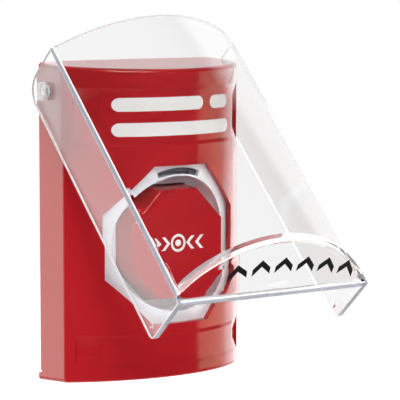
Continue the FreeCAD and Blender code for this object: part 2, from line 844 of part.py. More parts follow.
# Back plate
def make_back_plate():
    body = new_body("back_plate")
    gap = dim.plate_clearance
    side = half_width - wall - gap
    high = half_height - wall - gap - dim.plate_thickness * slope
    wide, tall = dim.wiring_width / 2, dim.wiring_height / 2
    spacing = dim.wall_screw_spacing / 2
    pad(body, "front", 0, dim.plate_thickness, [
        rectangle(-side, side, -high, high),
        rectangle(-wide, wide, button_z - tall, button_z + tall),
        (0, spacing, dim.wall_screw_hole),
        (0, -spacing, dim.wall_screw_hole),
    ])
    fillet(body, dim.plate_corner_radius, lambda edge: is_plate_corner(edge, side.value))
    thick = dim.plate_thickness
    low = lock_floor + wall + dim.lock_boss_height + gap
    half = dim.lug_width / 2
    pad(body, "front", thick, dim.lug_depth - thick, [rectangle(-half, half, low, low + dim.lug_height)])
    top = half_height - wall - gap - dim.top_lug_depth * slope
    lugs = []
    for way in (1, -1):
        near, far = dim.top_lug_offset - dim.top_lug_width / 2, dim.top_lug_offset + dim.top_lug_width / 2
        left, right = (near, far) if way > 0 else (-far, -near)
        lugs.append(rectangle(left, right, top - dim.top_lug_thickness, top))
    pad(body, "front", thick, dim.top_lug_depth - thick, lugs)
    thread = dim.lock_shank + dim.thread_clearance
    pocket(body, "plan", low - overrun, dim.lug_height + 2 * overrun, [(0, -dim.lock_depth, thread)])
    return body


def is_plate_corner(edge, side):
    """An upright edge at one of the plate's outer corners."""
    box = edge.BoundBox
    return box.YLength > LONG and box.XLength < NEAR and abs(abs(box.Center.x) - side) < NEAR


def make_lock_screw():
    depth, thick = dim.lock_depth, dim.lock_head_thickness
    head = rod("lock_screw_head", "up", 0, depth, lock_floor, dim.lock_head, thick)
    shank = rod("lock_screw_shank", "up", 0, depth, lock_floor + thick / 2, dim.lock_shank, dim.lock_length)
    return boolean("MultiFuse", "lock_screw", head, shank)


# Cover, about its hinge line
inner_half = half_width + dim.cover_side_gap
outer_half = inner_half + dim.cover_wall
cover_radius = (outer_half * outer_half + dim.cover_sagitta * dim.cover_sagitta) / (2 * dim.cover_sagitta)
cover_axis = dim.cover_front + dim.cover_sagitta - cover_radius
rim_drop = dim.cover_bottom - dim.lip_rim


def cover_form(label, inset, back, top, bottom):
    """The space inside the cover's outer face, or inside its inner face where an inset is given."""
    body = new_body(label)
    side = outer_half - inset
    radius = cover_radius - inset
    shoulder = cover_axis + root(radius * radius - side * side)
    plan = [(-side, back), (-side, -shoulder, Arc(radius, 1)), (side, -shoulder), (side, back)]
    pad(body, "plan", -bottom, top + bottom, [plan])
    return body


def lip_tool(label, inset):
    """What lies in front of the lip: a ruled face from a tilted arch down to the straight lower edge."""
    tilt = dim.lip_slope_angle
    half = outer_half + dim.lip_side_margin
    sagitta = (dim.cover_sagitta + dim.lip_margin) / cosine(tilt)
    arch = Arc((half * half + sagitta * sagitta) / (2 * sagitta), 1)
    wide = half + dim.cover_sagitta
    far = sagitta + dim.cover_sagitta
    front = dim.cover_front - inset
    rise = inset / cosine(tilt)
    body = new_body(label)
    arched = [(-half, 0, arch), (half, 0), (wide, 0), (wide, -far), (-wide, -far), (-wide, 0)]
    straight = [
        (-half, -front), (half, -front), (wide, -front),
        (wide, -front - far), (-wide, -front - far), (-wide, -front),
    ]
    feature = body.newObject("PartDesign::AdditiveLoft", f"{label}_loft")
    feature.Profile = new_sketch(body, "plan", rise - dim.lip_side_drop, [arched], tilt=(-tilt, -front))
    feature.Sections = [new_sketch(body, "plan", rise / 2 - rim_drop, [straight])]
    feature.Ruled = True
    body.Tip = feature
    doc.recompute()
    return body


def rim_form(label, front, level):
    """What lies in front of the lip's straight rim, from a level down to below the cover."""
    wide = outer_half + overrun
    body = new_body(label)
    bottom = -dim.cover_bottom - overrun
    reach = 2 * dim.cover_sagitta
    pad(body, "plan", bottom, -level - bottom, [rectangle(-wide, wide, -front - reach, -front)])
    return body


def make_cover():
    back, top, bottom = dim.cover_back, dim.cover_top, dim.cover_bottom
    thick = dim.cover_wall
    outer = cover_form("cover_outer", as_size(0), back, top, bottom)
    fillet(outer, dim.ear_radius, lambda edge: is_cross_edge(edge, back.value, top.value))
    fillet(outer, dim.cover_corner_radius, lambda edge: is_cross_edge(edge, back.value, -bottom.value))
    fillet(outer, dim.cover_edge_radius, is_shoulder_edge)
    lip_front = lip_tool("lip_front", as_size(0))
    rim_front = rim_form("rim_front", dim.cover_front, rim_drop)
    outside = boolean("Cut", "cover_outside", outer, lip_front, rim_front)
    inner = cover_form("cover_inner", thick, back + overrun, top + overrun, bottom + overrun)
    level = rim_drop - thick / cosine(dim.lip_slope_angle) / 2
    rim_back = rim_form("rim_back", dim.cover_front - thick, level)
    inside = boolean("Cut", "cover_inside", inner, lip_tool("lip_back", thick), rim_back)
    wide = outer_half + overrun
    bore = rod("cover_bore", "right", -wide, 0, 0, dim.pin_radius + dim.pin_clearance, 2 * wide)
    hollow = boolean("Cut", "cover_plain", outside, inside, bore)
    height = dim.detent_height
    ball = (dim.detent_radius * dim.detent_radius + height * height) / (2 * height)
    beads = []
    for name, way in (("right", 1), ("left", -1)):
        bead = doc.addObject("Part::Sphere", f"detent_bead_{name}")
        bind(bead, "Radius", ball)
        beads.append(place(bead, way * (inner_half - height + ball), dim.detent_back, -dim.detent_drop))
    limit = cover_form("bead_limit", as_size(0), back, top, bottom)
    trimmed = boolean("MultiCommon", "detent_beads", boolean("MultiFuse", "detent_balls", *beads), limit)
    return lift(boolean("MultiFuse", "cover_shell", hollow, trimmed))


def is_cross_edge(edge, back, level):
    """An edge along X at the cover's back, at a height."""
    box = edge.BoundBox
    placed = abs(box.Center.y - back) < NEAR and abs(box.Center.z - level) < NEAR
    return box.XLength > LONG and box.YLength < NEAR and placed


def is_shoulder_edge(edge):
    """An edge that runs down the cover where a side wall meets the front plate."""
    box = edge.BoundBox
    placed = abs(box.Center.y + dim.cover_front.value) < NEAR
    return box.ZLength > LONG and box.XLength < NEAR and placed


def lift(thing):
    """Sets a piece that is modelled about the hinge line on the hinge, lifted by the cover's angle."""
    thing.Placement = turned(FreeCAD.Vector(-1, 0, 0), dim.cover_angle.value)
    bind(thing, "Placement.Rotation.Angle", dim.cover_angle)
    return place(thing, 0, -dim.hinge_depth, dim.hinge_height)


def make_pin(name, way):
    """A clear pivot stud: a round head outside the cover and a shaft through cover and housing."""
    body = new_body(f"hinge_pin_{name}")
    start = outer_half
    end = half_width - wall - dim.hinge_boss_height + dim.pin_end_gap
    head, shaft, bend = dim.pin_head_radius, dim.pin_radius, dim.pin_head_round
    top = start + dim.pin_head_height
    corners = [
        (way * end, 0), (way * end, shaft), (way * start, shaft), (way * start, head),
        (way * (top - bend), head, Arc(bend, -way)), (way * top, head - bend), (way * top, 0),
    ]
    turn("Revolution", body, "plan", [corners], "H_Axis")
    return lift(body)


housing = make_housing()
reflector = make_reflector()
carrier, leaf = make_latch()
pieces = {
    "housing_shell": housing,
    "reflector_plate": reflector,
    "latch_carrier": carrier,
    "latch_leaf": leaf,
    "upper_label_insert": label_insert("upper", dim.upper_label_middle, dim.upper_label_height),
    "lower_label_insert": label_insert("lower", dim.lower_label_middle, dim.lower_label_height),
    "button_cap": make_cap(),
    "button_stem": make_stem(),
    "stem_clip": make_clip(),
    "return_spring": make_spring(),
    "switch_bridge": make_bridge(),
    "bridge_screws": screw_group("bridge_screws", dim.bridge_screw_x, dim.bridge_screw_z),
    "reflector_screws": screw_group("reflector_screws", dim.post_offset, dim.post_offset),
    "back_plate": make_back_plate(),
    "lock_screw": make_lock_screw(),
    "cover_shell": make_cover(),
    "hinge_pin_left": make_pin("left", -1),
    "hinge_pin_right": make_pin("right", 1),
}
for name, way in (("left", -1), ("right", 1)):
    block, plunger, terminals = make_switch(name, way)
    pieces[f"contact_block_{name}"] = block
    pieces[f"contact_plunger_{name}"] = plunger
    pieces[f"terminal_screws_{name}"] = terminals
doc.recompute()

# Every object of the document has to be sound before anything is written
for thing in doc.Objects:
    if "Invalid" in thing.State or "Error" in thing.State:
        raise RuntimeError(f"{thing.Label} failed: {thing.State}")
for label, piece in pieces.items():
    piece.Label = label
    if piece.Shape.isNull() or not piece.Shape.isValid():
        raise RuntimeError(f"{label} has no sound shape")

os.makedirs("parts", exist_ok=True)
for label, piece in pieces.items():
    piece.Shape.exportStep(f"parts/{label}.step")
    box = piece.Shape.BoundBox
    extent = [round(v, 1) for v in (box.XMin, box.XMax, box.YMin, box.YMax, box.ZMin, box.ZMax)]
    print(label, len(piece.Shape.Solids), "solids", round(piece.Shape.Volume), "mm3", extent)
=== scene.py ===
"""Dresses the covered emergency push button: finishes, printed marks, camera and studio.

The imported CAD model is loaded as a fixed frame. +X is to the right, -Y to the front and +Z up, in
metres, and the wall is the plane Y = 0. The cover is at rest half open.
"""
import json
import math

import bpy
from bpy.props import FloatProperty, FloatVectorProperty, IntProperty, PointerProperty
from mathutils import Matrix, Vector


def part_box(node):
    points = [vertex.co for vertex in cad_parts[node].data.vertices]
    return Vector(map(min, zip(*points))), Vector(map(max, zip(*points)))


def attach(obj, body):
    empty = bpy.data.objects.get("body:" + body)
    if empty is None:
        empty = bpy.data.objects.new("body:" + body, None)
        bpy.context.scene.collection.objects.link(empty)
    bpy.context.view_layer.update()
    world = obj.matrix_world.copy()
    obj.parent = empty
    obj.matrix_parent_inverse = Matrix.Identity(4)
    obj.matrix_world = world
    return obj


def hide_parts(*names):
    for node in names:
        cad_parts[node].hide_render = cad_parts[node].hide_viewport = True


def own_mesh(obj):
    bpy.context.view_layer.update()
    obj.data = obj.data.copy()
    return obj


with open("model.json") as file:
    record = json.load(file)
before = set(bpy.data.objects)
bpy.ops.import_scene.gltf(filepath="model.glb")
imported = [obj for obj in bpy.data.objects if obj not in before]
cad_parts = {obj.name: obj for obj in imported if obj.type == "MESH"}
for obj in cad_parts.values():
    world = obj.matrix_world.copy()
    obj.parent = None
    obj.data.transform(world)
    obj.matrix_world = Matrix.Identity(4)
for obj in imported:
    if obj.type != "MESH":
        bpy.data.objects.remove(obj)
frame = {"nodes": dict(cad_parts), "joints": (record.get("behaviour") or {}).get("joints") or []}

bl_info = {
    "name": "Covered Push Button",
    "version": (1, 0, 0),
    "blender": (4, 5, 0),
    "location": "View3D > Sidebar > Push Button",
    "description": "Finishes, marks and studio for a covered emergency push button",
    "category": "Object",
}

MM = 0.001
RIGHT, FRONT = Vector((1, 0, 0)), Vector((0, -1, 0))
STATION, BUTTON, COVER = "station", "button", "cover"

# The cover at rest: its hinge line, and the directions down along it and out of it
HINGE = Vector(frame["joints"][0]["pos_m"])
COVER_ANGLE = math.radians(43.4)
COVER_DOWN = Vector((0, -math.sin(COVER_ANGLE), -math.cos(COVER_ANGLE)))
COVER_OUT = Vector((0, -math.cos(COVER_ANGLE), math.sin(COVER_ANGLE)))

# The cover's shape, down and out from the hinge line; its plate is an arc round an axis
COVER_WALL = 1.8 * MM
COVER_FRONT, COVER_BACK = 14.1 * MM, -9.1 * MM
COVER_TOP, COVER_BOTTOM = -9.1 * MM, 112.2 * MM
COVER_AXIS, COVER_RADIUS = -29.6 * MM, 62.3 * MM

# The bend between plate and lip, outside and inside: the radius of that side of the plate, how far
# to left and right the bend is rounded, and how far the rounding reaches from the edge
BENDS = (
    (COVER_RADIUS, 43.8 * MM, 1.0 * MM),
    (COVER_RADIUS - COVER_WALL, 41.0 * MM, 1.5 * MM),
)
BEND_START, BEND_STOP = 98 * MM, 108.5 * MM
BEND_SLACK = 0.15 * MM
BEND_SHARPNESS = math.radians(35)
BEND_STEPS = 4

# The finishes of the cover's faces, in the order of its materials; besides the clear ones, these
# paint light: a grey sheen on the edge bands, highlight lines beside them, and a pale veil of
# reflection on the bend and the ends
CLEAR, CLEAR_SIDE, EDGE_SHEEN, EDGE_GLINT, BEND, END = range(6)

# Satin bands along the cover's edges, whose grey is a painted sheen, the painted highlight line
# beside each, and the veiled corner of the lip
PLATE_BAND, WALL_BAND, BACK_BAND, RIM_BAND = 0.85 * MM, 0.5 * MM, 1.2 * MM, 0.6 * MM
EDGE_LINE = 0.35 * MM
CORNER_WIDTH, CORNER_HEIGHT = 4.5 * MM, 11.0 * MM

# How near to a plane a face counts as on it, and the parts of its normal that tell how it faces
NEAR = 0.03 * MM
FLAT_SIDE, FLAT_FRONT, FLAT_END = 0.985, 0.98, 0.9
TURNED, SLOPED, EDGE_ON = 0.5, 0.3, 0.05

# Smoothing, merging and the fineness of round shapes
COVER_SMOOTH, COIL_SMOOTH = math.radians(30), math.radians(40)
NODE_MERGE, BAR_MERGE = 0.002 * MM, 0.01 * MM
BAR_STEPS, RING_STEPS = 8, 40

# Prints: how finely they are cut, how deep they go for each unit that they stand proud, and how far
# before the part they are drawn
PRINT_STRIP = 1.5 * MM
PRINT_DEPTH = 1.6
FRONT_STAND, LIP_STAND = 60 * MM, 30 * MM

# Bars on the upper label: length, middle to the right, and row above or below the middle
LABEL_BARS = ((38 * MM, -9 * MM, 1), (12 * MM, 20 * MM, 1), (55 * MM, -0.5 * MM, -1))

# The press sign: its ring, its dot, and the chevrons on each side, by half width, rise and stroke
RING_INNER, RING_OUTER, DOT_RADIUS = 2.5 * MM, 3.5 * MM, 1.3 * MM
SIGN_CHEVRON = (2.6 * MM, 2.4 * MM, 1.5 * MM)
SIGN_START, SIGN_PITCH, SIGN_COUNT = 7.0 * MM, 4.2 * MM, 2

# The lip: its middle, the way that it faces, and the arched row of chevrons on it
LIP_MIDDLE = HINGE + COVER_DOWN * 108.5 * MM + COVER_OUT * 19.5 * MM
LIP_FACING = (COVER_DOWN * 18.6 + COVER_OUT * 11.3).normalized()
LIP_CHEVRON = (4.0 * MM, 3.4 * MM, 2.7 * MM)
LIP_ROW_TOP, LIP_ROW_ARCH, LIP_ROW_TURN = 2.6 * MM, 260 * MM, 120 * MM

# Materials: where most of a noise's values lie, the refraction of clear plastic, and warm gloss
NOISE_LOW, NOISE_HIGH = 0.3, 0.7
CLEAR_IOR = 1.46
WHITE, WARM_GLOSS = (1, 1, 1), (1, 0.95, 0.80)

# The floor: its size, how far behind the wall its middle is, and how far it lies below the housing
FLOOR_SIZE, FLOOR_MIDDLE, FLOOR_DROP = 3, 1.0, 0.35

# The camera: the point that it looks at, and its sensor's width in millimetres
CAMERA_TARGET = Vector((23.06, -18.71, 6.14)) * MM
SENSOR_WIDTH = 36

# The lights: azimuth and elevation in degrees, distance, and width and height
KEY_PLACE = (-12.5, 40, 1.2, (0.8, 0.25))
LEFT_PLACE = (-143.3, -5, 1.6, (0.6, 0.6))
RIGHT_PLACE = (69.5, -5, 1.3, (0.82, 0.5))
REAR_PLACE = (107.5, -5, 1.5, (1.1, 0.6))

# The surroundings: from which to which Y of a direction the front passes into the back, and the
# count of bounces that tells none from one
WALL_FADE = (-0.02, 0.10)
FIRST_BOUNCE = 0.5


def middle_height(node):
    """The height of the middle of a CAD node."""
    return sum(corner.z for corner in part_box(node)) / 2


BUTTON_HEIGHT = middle_height("button_cap")
LABEL_HEIGHT = middle_height("upper_label_insert")
FLOOR_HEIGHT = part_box("housing_shell")[0].z - FLOOR_DROP


class FinishColours(bpy.types.PropertyGroup):
    """The colours of the mouldings, prints and metal."""

    red: FloatVectorProperty(
        name="Red", description="Moulded red of housing and button", subtype="COLOR", size=3,
        default=(0.420, 0.0105, 0.0160), min=0, max=1,
    )
    white: FloatVectorProperty(
        name="White", description="Moulded white of the reflector plate", subtype="COLOR", size=3,
        default=(0.87, 0.89, 0.93), min=0, max=1,
    )
    clear: FloatVectorProperty(
        name="Clear", description="Tint of the clear cover", subtype="COLOR", size=3,
        default=(0.972, 0.972, 0.972), min=0, max=1,
    )
    # A darker copy of the clear tint, given to the left wall alone, inside and out; the right wall
    # keeps the clear tint
    clear_side: FloatVectorProperty(
        name="Clear sides", description="Tint of the cover's left wall", subtype="COLOR", size=3,
        default=(0.87, 0.87, 0.88), min=0, max=1,
    )
    # The grey of the cover's edge bands is a painted sheen, standing in for the reflections and
    # light that a clear edge shows
    edge: FloatVectorProperty(
        name="Cover edges", description="Satin edges of the clear cover", subtype="COLOR", size=3,
        default=(0.38, 0.40, 0.46), min=0, max=1,
    )
    # Painted highlight colour: the highlight lines, and the pale veil that paints reflection on the
    # bend and the ends
    glint: FloatVectorProperty(
        name="Cover edge lines", description="Bright lines, bends and ends of the clear cover",
        subtype="COLOR", size=3, default=(0.97, 0.97, 0.98), min=0, max=1,
    )
    pins: FloatVectorProperty(
        name="Hinge pins", description="Satin clear plastic of the hinge pins", subtype="COLOR",
        size=3, default=(0.93, 0.96, 0.94), min=0, max=1,
    )
    carrier: FloatVectorProperty(
        name="Latch carrier", description="Plastic that shows through the reflector's slot",
        subtype="COLOR", size=3, default=(0.26, 0.22, 0.28), min=0, max=1,
    )
    print_white: FloatVectorProperty(
        name="White print", description="Ink of the marks on red", subtype="COLOR", size=3,
        default=(0.90, 0.89, 0.87), min=0, max=1,
    )
    print_black: FloatVectorProperty(
        name="Black print", description="Ink of the marks on the lip", subtype="COLOR", size=3,
        default=(0.007, 0.007, 0.008), min=0, max=1,
    )
    dark: FloatVectorProperty(
        name="Black plastic", description="Moulded black of the switch parts", subtype="COLOR",
        size=3, default=(0.018, 0.018, 0.022), min=0, max=1,
    )
    grey: FloatVectorProperty(
        name="Grey plastic", description="Moulded grey of the hidden carriers", subtype="COLOR",
        size=3, default=(0.32, 0.33, 0.35), min=0, max=1,
    )
    steel: FloatVectorProperty(
        name="Steel", description="Plated steel of screws, spring and leaf", subtype="COLOR",
        size=3, default=(0.60, 0.60, 0.62), min=0, max=1,
    )


class MarkSizes(bpy.types.PropertyGroup):
    """The sizes of the printed marks."""

    ink: FloatProperty(
        name="Ink thickness", description="How far a print stands proud", unit="LENGTH",
        default=0.05 * MM, min=0,
    )
    pad_bar: FloatProperty(
        name="Label bar height", description="Height of a bar on the upper label", unit="LENGTH",
        default=5.2 * MM, min=0,
    )
    pad_pitch: FloatProperty(
        name="Label bar pitch", description="Distance between the two rows of bars", unit="LENGTH",
        default=9.6 * MM, min=0,
    )
    lip_arrows: IntProperty(
        name="Lip chevrons", description="How many lift chevrons stand on the lip",
        default=6, min=2,
    )
    lip_spread: FloatProperty(
        name="Lip spread", description="From the middle of the row to its last chevron",
        unit="LENGTH", default=26 * MM, min=0,
    )
    lip_shift: FloatProperty(
        name="Lip shift", description="From the lip's middle to the middle of the row",
        unit="LENGTH", default=7 * MM,
    )


class StudioSettings(bpy.types.PropertyGroup):
    """Camera and light."""

    azimuth: FloatProperty(
        name="Azimuth", description="Where the camera stands, from the front to the left",
        subtype="ANGLE", default=math.radians(36.73),
    )
    elevation: FloatProperty(
        name="Elevation", description="Height of the camera as an angle", subtype="ANGLE",
        default=math.radians(5.93),
    )
    distance: FloatProperty(
        name="Distance", description="From the camera to its target", unit="LENGTH",
        default=0.8668, min=0.1,
    )
    lens: FloatProperty(
        name="Lens", description="Focal length of the camera", unit="CAMERA", default=194.5, min=1,
    )
    backdrop: FloatProperty(
        name="Backdrop", description="Strength of the surroundings behind the button",
        default=0.5, min=0,
    )
    back_gloss: FloatProperty(
        name="Back gloss", description="What gloss reflects of the surroundings behind the button",
        default=1.0, min=0,
    )
    front_fill: FloatProperty(
        name="Front fill", description="Strength of the surroundings before the button",
        default=0.24, min=0,
    )
    front_gloss: FloatProperty(
        name="Front gloss", description="What gloss reflects of the surroundings before the button",
        default=0.02, min=0,
    )
    key: FloatProperty(
        name="Key light", description="Radiance of the front softbox", default=30.0, min=0,
    )
    left: FloatProperty(
        name="Left panel", description="Radiance of the left panel", default=1.6, min=0,
    )
    right: FloatProperty(
        name="Right panel", description="Radiance of the right panel", default=1.9, min=0,
    )
    rear: FloatProperty(
        name="Right rear panel", description="Radiance of the panel behind to the right",
        default=1.4, min=0,
    )
    warmth: FloatVectorProperty(
        name="Warmth", description="Colour of the right panel", subtype="COLOR", size=3,
        default=(1.0, 0.86, 0.66), min=0, max=1,
    )


def finishes():
    """The colours that are set in the scene."""
    return bpy.context.scene.push_button_finishes


def marks():
    """The sizes of the marks that are set in the scene."""
    return bpy.context.scene.push_button_marks


def studio():
    """The camera and light that are set in the scene."""
    return bpy.context.scene.push_button_studio


# Materials
def new_material(name):
    """A new node material, with its node tree and its shader."""
    material = bpy.data.materials.new(name)
    material.use_nodes = True
    tree = material.node_tree
    return material, tree, tree.nodes["Principled BSDF"]


def add_noise(tree, size, detail=2.0):
    """Noise on object coordinates, whose features are about one size across, in metres."""
    place = tree.nodes.new("ShaderNodeTexCoord")
    noise = tree.nodes.new("ShaderNodeTexNoise")
    noise.inputs["Scale"].default_value = 1 / size
    noise.inputs["Detail"].default_value = detail
    tree.links.new(place.outputs["Object"], noise.inputs["Vector"])
    return noise


def add_shade(tree, shader, noise, colour, change):
    """A colour that is a little lighter and darker from place to place."""
    mix = tree.nodes.new("ShaderNodeMix")
    mix.data_type = "RGBA"
    mix.inputs["A"].default_value = (*[c * (1 - change) for c in colour], 1)
    mix.inputs["B"].default_value = (*[min(1, c * (1 + change)) for c in colour], 1)
    tree.links.new(noise.outputs["Fac"], mix.inputs["Factor"])
    tree.links.new(mix.outputs["Result"], shader.inputs["Base Color"])


def add_roughness(tree, shader, noise, low, high):
    """Roughness that goes from low to high with a noise."""
    mapped = tree.nodes.new("ShaderNodeMapRange")
    mapped.inputs["From Min"].default_value = NOISE_LOW
    mapped.inputs["From Max"].default_value = NOISE_HIGH
    mapped.inputs["To Min"].default_value = low
    mapped.inputs["To Max"].default_value = high
    tree.links.new(noise.outputs["Fac"], mapped.inputs["Value"])
    tree.links.new(mapped.outputs["Result"], shader.inputs["Roughness"])


def add_bump(tree, shader, noise, height):
    """Bumps of a height, in metres."""
    bump = tree.nodes.new("ShaderNodeBump")
    bump.inputs["Distance"].default_value = height
    tree.links.new(noise.outputs["Fac"], bump.inputs["Height"])
    tree.links.new(bump.outputs["Normal"], shader.inputs["Normal"])


def moulded_plastic(name, colour, roughness, specular=0.5, gloss=WHITE):
    """Injection moulded plastic: a faint long ripple, roughness and shade that drift."""
    material, tree, shader = new_material(name)
    shader.inputs["Specular IOR Level"].default_value = specular
    shader.inputs["Specular Tint"].default_value = (*gloss, 1)
    drift = add_noise(tree, 30 * MM)
    add_shade(tree, shader, drift, colour, change=0.03)
    add_roughness(tree, shader, drift, roughness * 0.85, roughness * 1.15)
    add_bump(tree, shader, add_noise(tree, 14 * MM), height=0.012 * MM)
    return material


def clear_plastic(name, tint):
    """Polished clear plastic with the faint flow ripple of a moulding."""
    material, tree, shader = new_material(name)
    shader.inputs["Transmission Weight"].default_value = 1.0
    shader.inputs["IOR"].default_value = CLEAR_IOR
    shader.inputs["Roughness"].default_value = 0.0
    add_shade(tree, shader, add_noise(tree, 40 * MM), tint, change=0.006)
    add_bump(tree, shader, add_noise(tree, 22 * MM, detail=1.0), height=0.03 * MM)
    return material


def edge_sheen_plastic(name, tint, clearness, change, roughness=0.3):
    """Satin clear plastic for the cover's edges; its colour paints the grey sheen and the
    highlights that light gives a clear edge.
    """
    material, tree, shader = new_material(name)
    shader.inputs["Transmission Weight"].default_value = clearness
    shader.inputs["IOR"].default_value = CLEAR_IOR
    cloud = add_noise(tree, 3.0 * MM, detail=3.0)
    add_shade(tree, shader, cloud, tint, change)
    add_roughness(tree, shader, cloud, roughness * 0.9, roughness * 1.1)
    add_bump(tree, shader, cloud, height=0.001 * MM)
    return material


def veil_plastic(name, tint, share):
    """Clear plastic that is seen straight through, under a light veil of the given share."""
    material, tree, shader = new_material(name)
    shader.inputs["Alpha"].default_value = share
    cloud = add_noise(tree, 4.0 * MM)
    add_shade(tree, shader, cloud, tint, change=0.03)
    add_roughness(tree, shader, cloud, low=0.1, high=0.25)
    return material


def printed_ink(name, colour):
    """Printed ink with a fine grain."""
    material, tree, shader = new_material(name)
    shader.inputs["Specular IOR Level"].default_value = 0.3
    grain = add_noise(tree, 0.6 * MM)
    add_shade(tree, shader, grain, colour, change=0.03)
    add_roughness(tree, shader, grain, low=0.38, high=0.5)
    add_bump(tree, shader, grain, height=0.004 * MM)
    return material


def plated_steel(name, colour, roughness):
    """Bright plated steel with fine cloudy marks."""
    material, tree, shader = new_material(name)
    shader.inputs["Metallic"].default_value = 1.0
    cloud = add_noise(tree, 2.5 * MM, detail=4.0)
    add_shade(tree, shader, cloud, colour, change=0.08)
    add_roughness(tree, shader, cloud, roughness * 0.7, roughness * 1.3)
    add_bump(tree, shader, add_noise(tree, 0.4 * MM), height=0.004 * MM)
    return material


def floor_paint(name):
    """Opal white that glows a little, as on a light table."""
    material, tree, shader = new_material(name)
    shader.inputs["Emission Color"].default_value = (*WHITE, 1)
    shader.inputs["Emission Strength"].default_value = 0.75
    shader.inputs["Roughness"].default_value = 0.9
    shader.inputs["Specular IOR Level"].default_value = 0.0
    add_shade(tree, shader, add_noise(tree, 0.5), (0.95, 0.95, 0.95), change=0.003)
    return material


def paint(names, material):
    """Gives CAD nodes a finish."""
    for name in names:
        for slot in frame["nodes"][name].material_slots:
            slot.material = material


# Modelling
def deselect_all():
    bpy.ops.object.select_all(action="DESELECT")


def select_only(piece):
    """Selects one piece and makes it the active one."""
    deselect_all()
    piece.select_set(True)
    bpy.context.view_layer.objects.active = piece


def edit_all(piece):
    """Opens a piece in edit mode, with all of its mesh selected."""
    select_only(piece)
    bpy.ops.object.mode_set(mode="EDIT")
    bpy.ops.mesh.select_all(action="SELECT")


def leave_edit():
    bpy.ops.object.mode_set(mode="OBJECT")


def settle():
    """Puts the active object's place, turn and size into its mesh."""
    bpy.ops.object.transform_apply(location=True, rotation=True, scale=True)


def join(parts, name):
    """Joins several meshes into one piece, under a name."""
    deselect_all()
    for part in parts:
        part.select_set(True)
    bpy.context.view_layer.objects.active = parts[0]
    bpy.ops.object.join()
    piece = bpy.context.object
    piece.name = name
    piece.data.name = name
    return piece


def flat_bar(width, height, centre):
    """A flat bar with round ends, drawn in the plane XY."""
    bpy.ops.mesh.primitive_plane_add(size=1, location=(*centre, 0))
    piece = bpy.context.object
    piece.scale = (width, height, 1)
    settle()
    edit_all(piece)
    bpy.ops.mesh.bevel(offset=height / 2, segments=BAR_STEPS, affect="VERTICES")
    bpy.ops.mesh.remove_doubles(threshold=BAR_MERGE)
    leave_edit()
    return piece


def flat_ring(inner, outer, centre):
    """A flat ring in the plane XY, or a disc where the inner radius is zero."""
    bpy.ops.mesh.primitive_circle_add(
        vertices=RING_STEPS, radius=outer, fill_type="NGON", location=(*centre, 0),
    )
    piece = bpy.context.object
    settle()
    if inner:
        edit_all(piece)
        bpy.ops.mesh.inset(thickness=outer - inner)
        bpy.ops.mesh.delete(type="FACE")
        leave_edit()
    return piece


def flat_chevron(half_width, rise, stroke, centre, turn):
    """A flat chevron in the plane XY, which points up: a bar whose middle is lifted."""
    bpy.ops.mesh.primitive_plane_add(size=1, location=(0, 0, 0))
    piece = bpy.context.object
    piece.scale = (2 * half_width, stroke, 1)
    settle()
    edit_all(piece)
    bpy.ops.mesh.subdivide(number_cuts=1)
    select_vertices(piece, lambda place: abs(place.x) < half_width / 2)
    bpy.ops.transform.translate(value=(0, rise, 0))
    leave_edit()
    piece.location = (*centre, 0)
    piece.rotation_euler = (0, 0, turn)
    settle()
    return piece


def select_vertices(piece, chosen):
    """Selects the vertices of the piece being edited whose place passes a test."""
    bpy.ops.mesh.select_mode(type="VERT")
    bpy.ops.mesh.select_all(action="DESELECT")
    leave_edit()
    for vertex in piece.data.vertices:
        vertex.select = chosen(vertex.co)
    bpy.ops.object.mode_set(mode="EDIT")


def cut_across(piece, point, normal):
    """Cuts a piece along a plane and keeps both sides."""
    edit_all(piece)
    bpy.ops.mesh.bisect(plane_co=point, plane_no=normal)
    leave_edit()


def cut_fine(piece, pitch):
    """Cuts a flat piece in the plane XY into strips both ways, so that it can bend."""
    places = [vertex.co.copy() for vertex in piece.data.vertices]
    for way in (Vector((1, 0, 0)), Vector((0, 1, 0))):
        low, high = min(place @ way for place in places), max(place @ way for place in places)
        for step in range(1, math.ceil((high - low) / pitch)):
            cut_across(piece, way * (low + step * pitch), way)


def apply_modifier(piece, kind, **settings):
    """Adds a modifier, sets it and applies it."""
    modifier = piece.modifiers.new(kind.title(), kind)
    for name, value in settings.items():
        setattr(modifier, name, value)
    select_only(piece)
    bpy.ops.object.modifier_apply(modifier=modifier.name)


def facing(origin, right, out):
    """The matrix of a plane through a point, from its right-hand way and the way that it faces."""
    right, out = right.normalized(), out.normalized()
    matrix = Matrix((right, out.cross(right), out)).transposed().to_4x4()
    matrix.translation = origin
    return matrix


def before_front(height):
    """The plane before the station's front that the marks at a height are drawn on."""
    return facing(Vector((0, -FRONT_STAND, height)), RIGHT, FRONT)


def print_mark(parts, name, stand, node, ink, body):
    """Prints flat parts, drawn in the plane XY, on a CAD node that the plane stands before."""
    piece = join(parts, name)
    cut_fine(piece, PRINT_STRIP)
    piece.matrix_world = stand
    bpy.context.view_layer.update()
    thickness = marks().ink
    apply_modifier(
        piece, "SHRINKWRAP", target=frame["nodes"][node], wrap_method="PROJECT",
        use_project_z=True, use_negative_direction=True, use_positive_direction=False,
        wrap_mode="ABOVE_SURFACE", offset=thickness,
    )
    settle()
    apply_modifier(piece, "SOLIDIFY", thickness=PRINT_DEPTH * thickness, offset=-1.0)
    piece.data.materials.append(ink)
    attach(piece, body)


def finer_copy(node, name):
    """A merged copy of a CAD node that stands for it, without the node's own normals."""
    piece = bpy.data.objects.new(name, frame["nodes"][node].data.copy())
    bpy.context.scene.collection.objects.link(piece)
    piece.data.name = name
    piece.data.materials.clear()
    select_only(piece)
    bpy.ops.mesh.customdata_custom_splitnormals_clear()
    edit_all(piece)
    bpy.ops.mesh.remove_doubles(threshold=NODE_MERGE)
    leave_edit()
    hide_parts(node)
    return piece


